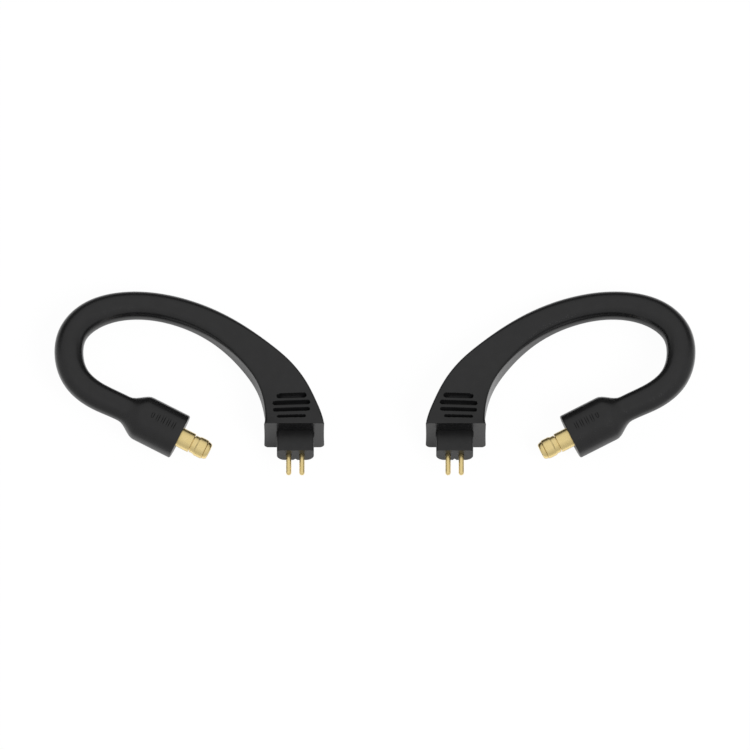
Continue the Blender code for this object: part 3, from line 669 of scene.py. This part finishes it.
def round_tip(radius, height):
    """Profile of a round pin end, from near the axis out to the pin's side."""
    angles = np.linspace(TIP_START, math.pi / 2, TIP_STEPS + 1)
    return [(radius * math.sin(angle), height - radius * (1 - math.cos(angle))) for angle in angles]


def plug_shell():
    profile = [
        (NOSE_TIP_RADIUS, NOSE_TIP),
        (NOSE_TIP_RADIUS + NOSE_EDGE, NOSE_TIP - NOSE_EDGE),
        (NOSE_RADIUS, SEAT_FRONT),
        (SEAT_RADIUS, SEAT_FRONT),
        (SEAT_RADIUS, SEAT_BACK),
        (BARREL_RADIUS, SEAT_BACK),
        (BARREL_RADIUS, LOCK_FRONT),
        (LOCK_RADIUS, LOCK_FRONT),
        (LOCK_RADIUS, LOCK_BACK),
        (SLEEVE_RADIUS, LOCK_BACK),
        (SLEEVE_RADIUS, SLEEVE_BACK),
        (SLEEVE_BORE, SLEEVE_BACK),
        (SLEEVE_BORE, BORE_STEP),
        (BARREL_BORE, BORE_STEP),
        (BARREL_BORE, NOSE_TIP - BORE_EDGE),
        (BARREL_BORE + BORE_EDGE, NOSE_TIP),
    ]
    return turned("plug_shell", softened(profile, METAL_EDGE, True), BARREL_SIDES, hollow=True)


def plug_insulator():
    outside, inside = SLEEVE_BORE - FIT, CONTACT_RADIUS + FIT
    profile = [(outside, INSULATOR_FRONT), (outside, INSULATOR_BACK)]
    profile += [(inside, INSULATOR_BACK), (inside, INSULATOR_FRONT)]
    return turned("plug_insulator", softened(profile, METAL_EDGE, True), BARREL_SIDES, hollow=True)


def plug_centre_pin():
    cup = [(CONTACT_RADIUS, TAIL_FRONT), (TAIL_RADIUS, TAIL_FRONT), (TAIL_RADIUS, TAIL_BACK)]
    cup += [(TAIL_BORE, TAIL_BACK), (TAIL_BORE, TAIL_FLOOR)]
    profile = round_tip(CONTACT_RADIUS, CONTACT_TIP) + softened(cup, METAL_EDGE, False)
    return turned("plug_centre_pin", profile, PIN_SIDES)


for side in SIDES:
    matrix = plug_matrix(side)
    place(side + "_plug_shell", plug_shell(), matrix, "hooks", "gold_plating")
    place(side + "_plug_insulator", plug_insulator(), matrix, "hooks", "ivory_insulator")
    place(side + "_plug_centre_pin", plug_centre_pin(), matrix, "hooks", "gold_plating")
print("placed", len(PIECES), "pieces so far")

# %% [markdown]
# ## The snap ring
# The ring is a split spring collar in the shell's groove. Its raised band clicks into the jack, and it is
# free to turn, so each ring rides on its own body. A full turn with a Boolean cut would work, but sweeping
# the profile part of the way round leaves the gap by itself.

# %% Split ring with a raised band
RING_FRONT, RING_BACK, RING_INSIDE = 4.22, 2.12, 1.18
RING_BACK_RADIUS, RING_CREST, RING_FRONT_RADIUS = 1.36, 1.50, 1.43
RING_RAMP, CREST_BACK, CREST_FRONT = 2.72, 2.98, 4.05
RING_GAP = math.radians(24)
RING_TURN_STEPS = 72


def snap_ring():
    profile = [
        (RING_INSIDE, RING_BACK),
        (RING_BACK_RADIUS, RING_BACK),
        (RING_BACK_RADIUS, RING_RAMP),
        (RING_CREST, CREST_BACK),
        (RING_CREST, CREST_FRONT),
        (RING_FRONT_RADIUS, RING_FRONT),
        (RING_INSIDE, RING_FRONT),
    ]
    profile = softened(profile, METAL_EDGE, True)
    start = -math.pi / 2 + RING_GAP / 2
    angles = np.linspace(start, start + 2 * math.pi - RING_GAP, RING_TURN_STEPS + 1)
    rings = [[(r * math.cos(a), r * math.sin(a), height) for r, height in profile] for a in angles]
    return loft("snap_ring", rings)


for side in SIDES:
    place(side + "_snap_ring", snap_ring(), plug_matrix(side), side + "_ring", "gold_plating")

# %% [markdown]
# ## The two-pin plug
# A hard plastic block stands out of the squared end. It has rounded corners, a bore for each pin and
# a V-shaped key notch in the middle of its back edge, so that it enters its socket only one way. The block is
# a loft of rounded rectangles, and the stepped pin bores and the notch are cut out of it.

# %% Block with pin bores and key notch
BLOCK_REACH, BLOCK_EDGE = 3.43, 0.12
BLOCK_EDGE_STEPS, BLOCK_CORNER_STEPS = 5, 10
PIN_RADIUS, PIN_PITCH, PIN_TIP = 0.39, 1.98, 6.85
COLLAR_RADIUS, COLLAR_FRONT, COLLAR_BACK = 0.55, 0.9, 0.1
KEY_HALF_WIDTH, KEY_DEPTH, KEY_START = 0.36, 0.45, 0.5
PIN_PLACES = {"signal_pin": -PIN_PITCH / 2, "ground_pin": PIN_PITCH / 2}


def two_pin_block():
    rings = []

    def add_ring(sizes, height, inset=0.0):
        width, depth, front, back = sizes
        shrunk = width - 2 * inset, depth - 2 * inset, front - inset, back - inset
        rings.append([(x, y, height) for x, y in rounded_rectangle(*shrunk, BLOCK_CORNER_STEPS)])

    for angle in np.linspace(0, math.pi / 2, BLOCK_EDGE_STEPS + 1):
        fall = BLOCK_EDGE * (1 - math.cos(angle))
        add_ring(BLOCK, BLOCK_REACH - fall, rim_inset(fall, BLOCK_EDGE))
    add_ring(BLOCK, FLANGE_FRONT)
    add_ring(FLANGE, FLANGE_FRONT)
    add_ring(FLANGE, FLANGE_BACK)
    blank = loft("two_pin_block", rings)
    seat, bore = COLLAR_RADIUS + FIT, PIN_RADIUS + FIT
    shoulder = COLLAR_FRONT + FIT
    profile = [(seat, FLANGE_BACK - PAST), (seat, shoulder), (bore, shoulder), (bore, BLOCK_REACH + PAST)]
    cutters = [turned("pin_bore", profile, PIN_SIDES, middle=x) for x in PIN_PLACES.values()]
    back = -BLOCK[1] / 2
    notch = [(-KEY_HALF_WIDTH, back - PAST), (KEY_HALF_WIDTH, back - PAST), (KEY_HALF_WIDTH, back)]
    notch += [(0, back + KEY_DEPTH), (-KEY_HALF_WIDTH, back)]
    heights = (KEY_START, BLOCK_REACH + PAST)
    cutters.append(loft("key_notch", [[(x, y, height) for x, y in notch] for height in heights]))
    return carved(blank, cutters)


for side in SIDES:
    place(side + "_two_pin_block", two_pin_block(), two_pin_matrix(side), "hooks", "hard_black_plastic")
print("block:", len(PIECES["left_two_pin_block"].data.polygons), "faces")

# %% [markdown]
# ## Contact pins
# Each pin is turned from rod: a round tip, a collar that locks it in the block and a solder cup at its back.
# The two pins of a hook are alike, so one profile makes all four.

# %% Four turned pins
CUP_RADIUS, CUP_BORE, CUP_FRONT, CUP_FLOOR, CUP_BACK = 0.5, 0.3, -2.5, -3.0, -4.2


def contact_pin():
    body = [
        (PIN_RADIUS, COLLAR_FRONT),
        (COLLAR_RADIUS, COLLAR_FRONT),
        (COLLAR_RADIUS, COLLAR_BACK),
        (PIN_RADIUS, COLLAR_BACK),
        (PIN_RADIUS, CUP_FRONT),
        (CUP_RADIUS, CUP_FRONT),
        (CUP_RADIUS, CUP_BACK),
        (CUP_BORE, CUP_BACK),
        (CUP_BORE, CUP_FLOOR),
    ]
    profile = round_tip(PIN_RADIUS, PIN_TIP) + softened(body, METAL_EDGE, False)
    return turned("contact_pin", profile, PIN_SIDES)


for side, mirror in SIDES.items():
    for pin, x in PIN_PLACES.items():
        aside = Matrix.Translation((mirror * x * MM, 0, 0))
        place(side + "_" + pin, contact_pin(), two_pin_matrix(side) @ aside, "hooks", "gold_plating")
print("placed", len(PIECES), "pieces in all")

# %% [markdown]
# ## Finishes
# A finish is a Principled shader with a few procedural nodes on it. The textures read object coordinates, so
# a grain keeps its real size on every piece. Nodes could be set out by hand in the editor, but the same few
# come again in every finish and in the world's light, so a small class holds those steps.

# %% Shared steps in a node tree
class NodeWork:
    """The nodes of one material or world, and calls that add to them."""

    def __init__(self, tree):
        self.nodes, self.links = tree.nodes, tree.links
        self.places = self.nodes.new("ShaderNodeTexCoord")

    def along(self, axis, kind="Object"):
        """One coordinate of the place on a piece or, of the kind Generated, of a direction in the world."""
        split = self.nodes.new("ShaderNodeSeparateXYZ")
        self.links.new(self.places.outputs[kind], split.inputs["Vector"])
        return split.outputs[axis]

    def stretched(self, value, start, stop, low=0.0, high=1.0, shape="LINEAR"):
        """The value, stretched from the range start to stop onto the range low to high."""
        span = self.nodes.new("ShaderNodeMapRange")
        span.interpolation_type = shape
        for name, number in zip(("From Min", "From Max", "To Min", "To Max"), (start, stop, low, high)):
            span.inputs[name].default_value = number
        self.links.new(value, span.inputs["Value"])
        return span.outputs["Result"]

    def combined(self, operation, one, two=0.0):
        """A Math node on two sockets, or on a socket and a number."""
        node = self.nodes.new("ShaderNodeMath")
        node.operation = operation
        for socket, value in zip(node.inputs, (one, two)):
            if isinstance(value, float):
                socket.default_value = value
            else:
                self.links.new(value, socket)
        return node.outputs["Value"]


print("node steps:", [name for name in vars(NodeWork) if not name.startswith("_")])

# %% [markdown]
# A finish adds what only materials need: a noise, and the colour, roughness and relief that it steers. Each
# is one call, so that a finish below reads like a recipe.

# %% Steps of a finish
NOISE_RANGE = 0.3, 0.7  # between these lie nearly all values of a noise


class Finish(NodeWork):
    """A material with a Principled shader, and calls that add procedural detail to it."""

    def __init__(self, name, metallic=0.0):
        self.material = bpy.data.materials.new(name)
        self.material.use_nodes = True
        super().__init__(self.material.node_tree)
        self.shader = self.nodes["Principled BSDF"]
        self.shader.inputs["Metallic"].default_value = metallic

    def noise(self, size, detail=2.0):
        """A noise whose patches are about that many millimetres across."""
        node = self.nodes.new("ShaderNodeTexNoise")
        node.inputs["Scale"].default_value = 1 / (size * MM)
        node.inputs["Detail"].default_value = detail
        self.links.new(self.places.outputs["Object"], node.inputs["Vector"])
        return node.outputs["Fac"]

    def colour(self, value, low, high):
        """Base colour that runs from one colour to another as the value does."""
        ramp = self.nodes.new("ShaderNodeValToRGB")
        for element, place_on_ramp, tint in zip(ramp.color_ramp.elements, NOISE_RANGE, (low, high)):
            element.position = place_on_ramp
            element.color = (*tint, 1)
        self.links.new(value, ramp.inputs["Fac"])
        self.links.new(ramp.outputs["Color"], self.shader.inputs["Base Color"])

    def roughness(self, value, low, high):
        self.links.new(self.stretched(value, *NOISE_RANGE, low, high), self.shader.inputs["Roughness"])

    def bump(self, value, height):
        """Relief of about that many millimetres."""
        bump = self.nodes.new("ShaderNodeBump")
        bump.inputs["Strength"].default_value = 1.0
        bump.inputs["Distance"].default_value = height * MM
        self.links.new(value, bump.inputs["Height"])
        self.links.new(bump.outputs["Normal"], self.shader.inputs["Normal"])

    def paint(self, pieces):
        for piece in pieces:
            piece.data.materials.clear()
            piece.data.materials.append(self.material)


def pieces_named(*endings):
    return [piece for node, piece in PIECES.items() if node.endswith(endings)]


print(len(pieces_named("_pin", "_shell", "_ring")), "pieces of metal wait for a finish")

# %% [markdown]
# ## Satin black moulding
# The cover is a soft black elastomer from a lightly eroded mould: nearly black in itself, with a grey satin
# sheen that comes from its surface reflecting the room. So the colour is very dark and the look comes from a
# middling roughness, which varies a little, and from a grain a tenth of a millimetre across. In the deep grip
# grooves of the squared end an Ambient Occlusion node takes the sheen off, which paints shade into those
# hollows. The shallow grooves of the boot, farther out, keep theirs.

# %% Moulded cover
HOLLOW_REACH = 0.8  # millimetres to look round for walls
HOLLOW_CLOSED, HOLLOW_OPEN = 0.72, 0.90  # share of open surroundings with no sheen, all painted shade, and with all of it, no painted shade
GROOVE_SHADE_UP_TO = 20.0, 24.0  # millimetres from the middle of the pair, over which the painted groove shade ends
SHEEN = 0.46
DEEP_BLACK, WORN_BLACK = (0.0042, 0.0042, 0.0044), (0.0062, 0.0062, 0.0065)


def paint_groove_shade(finish):
    # Painted shade: ambient occlusion takes the sheen off in the squared end's deep grooves, so they come out
    # darker
    hollow = finish.nodes.new("ShaderNodeAmbientOcclusion")
    hollow.only_local = True
    hollow.inputs["Distance"].default_value = HOLLOW_REACH * MM
    unshaded = finish.stretched(hollow.outputs["AO"], HOLLOW_CLOSED, HOLLOW_OPEN)
    aside = finish.combined("ABSOLUTE", finish.along("X"))
    is_far = finish.stretched(aside, *(stop * MM for stop in GROOVE_SHADE_UP_TO))
    sheen = finish.combined("MULTIPLY", finish.combined("MAXIMUM", unshaded, is_far), SHEEN)
    finish.links.new(sheen, finish.shader.inputs["Specular IOR Level"])


moulding = Finish("satin black moulding")
moulding.colour(moulding.noise(size=1.6, detail=4.0), DEEP_BLACK, WORN_BLACK)
moulding.roughness(moulding.noise(size=0.5, detail=3.0), low=0.20, high=0.26)
moulding.bump(moulding.noise(size=0.10), height=0.0015)
paint_groove_shade(moulding)
moulding.paint(pieces_named("hook_cover"))
print(moulding.material.name, "on", len(pieces_named("hook_cover")), "pieces")

# %% [markdown]
# ## Hard black plastic
# The plug block is a harder plastic than the cover. It has a finer grain and a duller, wider sheen, so it
# darkens evenly towards the squared end, where it stands in that end's shade.

# %% Plug block
block_plastic = Finish("hard black plastic")
block_plastic.colour(block_plastic.noise(size=0.9, detail=3.0), DEEP_BLACK, WORN_BLACK)
block_plastic.roughness(block_plastic.noise(size=0.35, detail=3.0), low=0.34, high=0.42)
block_plastic.bump(block_plastic.noise(size=0.07), height=0.0008)
block_plastic.paint(pieces_named("two_pin_block"))
print(block_plastic.material.name, "on", len(pieces_named("two_pin_block")), "pieces")

# %% [markdown]
# ## Gold plating
# The metal parts are turned copper alloy with a thin pale gold plate. Plating follows the metal under it, so
# the fine lines of the lathe still show. Bands of a Wave texture along each piece's own axis, which is local
# Z, make those lines, and a noise makes the plate a little uneven.

# %% Plated metal
LATHE_PITCH, LATHE_RELIEF, LATHE_WOBBLE = 0.045, 0.0006, 0.6  # distance and height of tool marks, unevenness
PALE_GOLD, LIGHT_GOLD = (0.94, 0.74, 0.33), (0.98, 0.78, 0.37)
WAVE_UNIT = 20.0  # a Wave texture of scale 1 has this many radians to the unit


def gold_plating():
    gold = Finish("pale gold plating", metallic=1.0)
    gold.colour(gold.noise(size=0.8, detail=3.0), PALE_GOLD, LIGHT_GOLD)
    gold.roughness(gold.noise(size=0.25, detail=3.0), low=0.24, high=0.32)
    lines = gold.nodes.new("ShaderNodeTexWave")
    lines.bands_direction = "Z"
    lines.inputs["Scale"].default_value = 2 * math.pi / (WAVE_UNIT * LATHE_PITCH * MM)
    lines.inputs["Distortion"].default_value = LATHE_WOBBLE
    gold.links.new(gold.places.outputs["Object"], lines.inputs["Vector"])
    gold.bump(lines.outputs["Fac"], LATHE_RELIEF)
    return gold


metal_pieces = pieces_named("plug_shell", "snap_ring", "_pin")
gold_plating().paint(metal_pieces)
print("gold on", sorted(piece.name for piece in metal_pieces if "left" in piece.name))

# %% [markdown]
# ## What lies inside
# The insulator, the two hard inner moulds and the wires are hidden once the cover is on. They are still real
# pieces, so the insulator is made finely, the rest keep their solids, and all have their own finish.

# %% Insulator, inner moulds and wires
ROUGHNESS_SPREAD = 0.1


def hidden_finish(name, low, high, roughness, grain):
    finish = Finish(name)
    finish.colour(finish.noise(size=0.6, detail=3.0), low, high)
    finish.roughness(finish.noise(size=0.3), roughness, roughness + ROUGHNESS_SPREAD)
    finish.bump(finish.noise(grain), height=0.001)
    return finish


# name, what it is on, darker and lighter colour, least roughness, grain in millimetres
HIDDEN = (
    ("ivory insulator", "plug_insulator", (0.70, 0.67, 0.59), (0.78, 0.75, 0.67), 0.45, 0.08),
    ("milky inner mould", "inner_mould", (0.31, 0.30, 0.26), (0.38, 0.37, 0.33), 0.42, 0.12),
    ("red wire insulation", "signal_wire", (0.31, 0.025, 0.018), (0.38, 0.035, 0.024), 0.38, 0.05),
    ("grey wire insulation", "ground_wire", (0.10, 0.10, 0.10), (0.14, 0.14, 0.14), 0.38, 0.05),
)
for name, ending, low, high, roughness, grain in HIDDEN:
    found = pieces_named(ending)
    found += [node for key, node in frame["nodes"].items() if key.endswith(ending) and key not in PIECES]
    hidden_finish(name, low, high, roughness, grain).paint(found)
    print(name, "on", [piece.name for piece in found])

# %% [markdown]
# ## Floor
# The hooks lie on a plain white floor, as in a product picture. A lit white floor would come out grey or
# uneven, so what the camera sees is mostly a plain white of strength 1, and the rest is the floor's own
# shading, which keeps a soft shadow under the hooks. Reflections see less of the plain white and more of the
# shading, so that the black moulding mirrors the shadow it lies in and gets no white outline. A reflection
# that looks almost straight down past an edge meets a painted contact shadow: a dim glow that stands in for
# the shade where the hook touches the floor and takes part of its light. One that meets the floor at a
# shallow angle finds it polished, as a real studio table is, and passes on to the dark far wall.

# %% White floor
FLOOR_SIZE = 3.0  # metres


def floor_square():
    mesh = bpy.data.meshes.new("floor")
    half = FLOOR_SIZE / 2
    corners = [(-half, -half, 0), (half, -half, 0), (half, half, 0), (-half, half, 0)]
    mesh.from_pydata(corners, [], [(0, 1, 2, 3)])
    plane = bpy.data.objects.new("floor", mesh)
    bpy.context.scene.collection.objects.link(plane)
    return plane


floor = floor_square()
print(floor.name, "is", FLOOR_SIZE, "m square")

# %% Finish of the floor
FLOOR_PAINT, FLOOR_ROUGHNESS = (0.95, 0.95, 0.95, 1), 0.9
POLISH_COLOUR, POLISH_ROUGHNESS = (0.95, 0.95, 0.95, 1), 0.1
SEEN_WHITE, MIRRORED_WHITE = 0.965, 0.35  # share of the floor that is plain white, seen and in reflections
PAINTED_SHADOW_ENDS = 0.05, 0.12  # how edge-on a reflected ray meets the floor, 0 to 1, where it leaves the painted contact shadow
POLISH_STARTS = 0.32, 0.46  # and where it finds the polish
PAINTED_SHADOW_SHARE, PAINTED_SHADOW_GLOW = 0.35, 0.10  # how much of a reflection the painted contact shadow takes, and the light of its dim glow


def mixed(finish, share, one, two):
    node = finish.nodes.new("ShaderNodeMixShader")
    for socket, value in zip(node.inputs, (share, one, two)):
        finish.links.new(value, socket)
    return node.outputs["Shader"]


def glow(finish, strength):
    """A plain white light of that strength, whatever falls on it."""
    node = finish.nodes.new("ShaderNodeEmission")
    node.inputs["Strength"].default_value = strength
    return node.outputs["Emission"]


def polish(finish):
    node = finish.nodes.new("ShaderNodeBsdfGlossy")
    node.inputs["Color"].default_value = POLISH_COLOUR
    node.inputs["Roughness"].default_value = POLISH_ROUGHNESS
    return node.outputs["BSDF"]


def floor_finish():
    finish = Finish("white floor")
    finish.shader.inputs["Base Color"].default_value = FLOOR_PAINT
    finish.shader.inputs["Roughness"].default_value = FLOOR_ROUGHNESS
    finish.shader.inputs["Specular IOR Level"].default_value = 0.0
    ray = finish.nodes.new("ShaderNodeLightPath").outputs
    facing = finish.nodes.new("ShaderNodeLayerWeight").outputs["Facing"]
    seen = finish.combined("MAXIMUM", ray["Is Camera Ray"], ray["Is Transmission Ray"])
    seen = finish.combined("MULTIPLY", seen, SEEN_WHITE)
    reflected = finish.combined("MULTIPLY", ray["Is Glossy Ray"], MIRRORED_WHITE)
    plain = finish.combined("MAXIMUM", seen, reflected)
    surface = mixed(finish, plain, finish.shader.outputs["BSDF"], glow(finish, 1.0))
    # Painted contact shadow: reflected rays that meet the floor nearly edge-on see a dim glow in place of the
    # shade
    painted_shadow = finish.stretched(facing, *PAINTED_SHADOW_ENDS, PAINTED_SHADOW_SHARE, 0.0)
    painted_shadow = finish.combined("MULTIPLY", painted_shadow, ray["Is Glossy Ray"])
    surface = mixed(finish, painted_shadow, surface, glow(finish, PAINTED_SHADOW_GLOW))
    shallow = finish.stretched(facing, *POLISH_STARTS)
    shallow = finish.combined("MULTIPLY", shallow, ray["Is Glossy Ray"])
    surface = mixed(finish, shallow, surface, polish(finish))
    finish.links.new(surface, finish.nodes["Material Output"].inputs["Surface"])
    return finish


floor_finish().paint([floor])
floor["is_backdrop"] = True
print("to the camera", SEEN_WHITE, "of the floor is plain white, and to reflections", MIRRORED_WHITE)

# %% [markdown]
# ## Light
# Soft light comes from all round: brightest overhead, as under a large softbox, and dimmer towards the
# horizon. The far wall is nearly dark low down. Lamps could do this, but a world whose light depends on the
# direction is smoother, and a glossy black piece shows every edge of a lamp.

# %% Dome of light
DOME = ((0.00, 0.55), (0.55, 0.66), (0.82, 0.78), (1.00, 0.76))  # height of the direction, light
FAR_WALL = 0.12  # share of the light that is left low on the far wall
FAR_FROM, FAR_TO = 0.30, 0.75  # how far the direction points away from the camera, where the wall sets in
LOW_FROM, LOW_TO = 0.45, 0.12  # how high it points, where the wall sets in


def studio_dome():
    world = bpy.data.worlds.new("studio dome")
    world.use_nodes = True
    dome = NodeWork(world.node_tree)
    height = dome.along("Z", "Generated")
    ramp = dome.nodes.new("ShaderNodeValToRGB")
    elements = ramp.color_ramp.elements
    while len(elements) < len(DOME):
        elements.new(0.5)  # anywhere, since the next loop places it
    for element, (place_on_ramp, light) in zip(elements, DOME):
        element.position = place_on_ramp
        element.color = (light, light, light, 1)
    dome.links.new(height, ramp.inputs["Fac"])
    far = dome.stretched(dome.along("Y", "Generated"), FAR_FROM, FAR_TO, shape="SMOOTHSTEP")
    low = dome.stretched(height, LOW_FROM, LOW_TO, shape="SMOOTHSTEP")
    strength = dome.stretched(dome.combined("MULTIPLY", far, low), 0.0, 1.0, 1.0, FAR_WALL)
    background = dome.nodes["Background"]
    dome.links.new(ramp.outputs["Color"], background.inputs["Color"])
    dome.links.new(strength, background.inputs["Strength"])
    bpy.context.scene.world = world
    return world


print("world:", studio_dome().name)

# %% [markdown]
# ## Soft sun
# One soft sun stands to the right. It lights the floor and draws the shadows to the left, and it is kept out
# of reflections: on a rounded black piece it would leave a hot spot that the photograph does not have.

# %% Soft sun
SUN_FROM = (0.52, -0.50, 0.69)  # direction it stands in
SUN_STRENGTH, SUN_SPREAD = 2.5, math.radians(30)


def soft_sun():
    light = bpy.data.lights.new("soft sun", "SUN")
    light.energy, light.angle = SUN_STRENGTH, SUN_SPREAD
    sun = bpy.data.objects.new("soft sun", light)
    sun.rotation_euler = Vector(SUN_FROM).to_track_quat("Z", "Y").to_euler()
    sun.visible_glossy = False
    bpy.context.scene.collection.objects.link(sun)
    return sun


print("lamp:", soft_sun().name)

# %% [markdown]
# ## Camera
# The picture is taken from high in front with a long lens, so that both hooks show nearly without
# perspective. The camera looks at the middle of the frame from 67.5 degrees up, at the distance where the
# lens takes in 112.5 millimetres.

# %% Long lens from high in front
VIEW_ELEVATION = math.radians(67.5)
VIEW_WIDTH = 112.5
VIEW_CENTRE = np.array((0.0, 1.42, 3.5))
LENS, SENSOR = 1600.0, 36.0
FARTHEST = 10.0  # metres


def long_lens_camera():
    data = bpy.data.cameras.new("camera")
    data.lens = LENS
    data.sensor_width = SENSOR
    data.clip_end = FARTHEST
    camera = bpy.data.objects.new("camera", data)
    bpy.context.scene.collection.objects.link(camera)
    away = np.array((0, -math.cos(VIEW_ELEVATION), math.sin(VIEW_ELEVATION)))
    distance = VIEW_WIDTH * LENS / SENSOR
    camera.location = (VIEW_CENTRE + away * distance) * MM
    camera.rotation_euler = (math.pi / 2 - VIEW_ELEVATION, 0, 0)
    bpy.context.scene.camera = camera
    return distance


bpy.context.scene.view_settings.view_transform = "Standard"
print("camera stands", round(long_lens_camera()), "mm away")

# %% [markdown]
# ## Print the boxes and finish
# The dressed pair has to stay inside the box of its solids, so both boxes are printed.

# %% Sizes, and the last line
boxes = {"cad": CAD_BOX, "visual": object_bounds()}
for name, box in boxes.items():
    print(name, [[round(x / MM, 2) for x in corner] for corner in box])
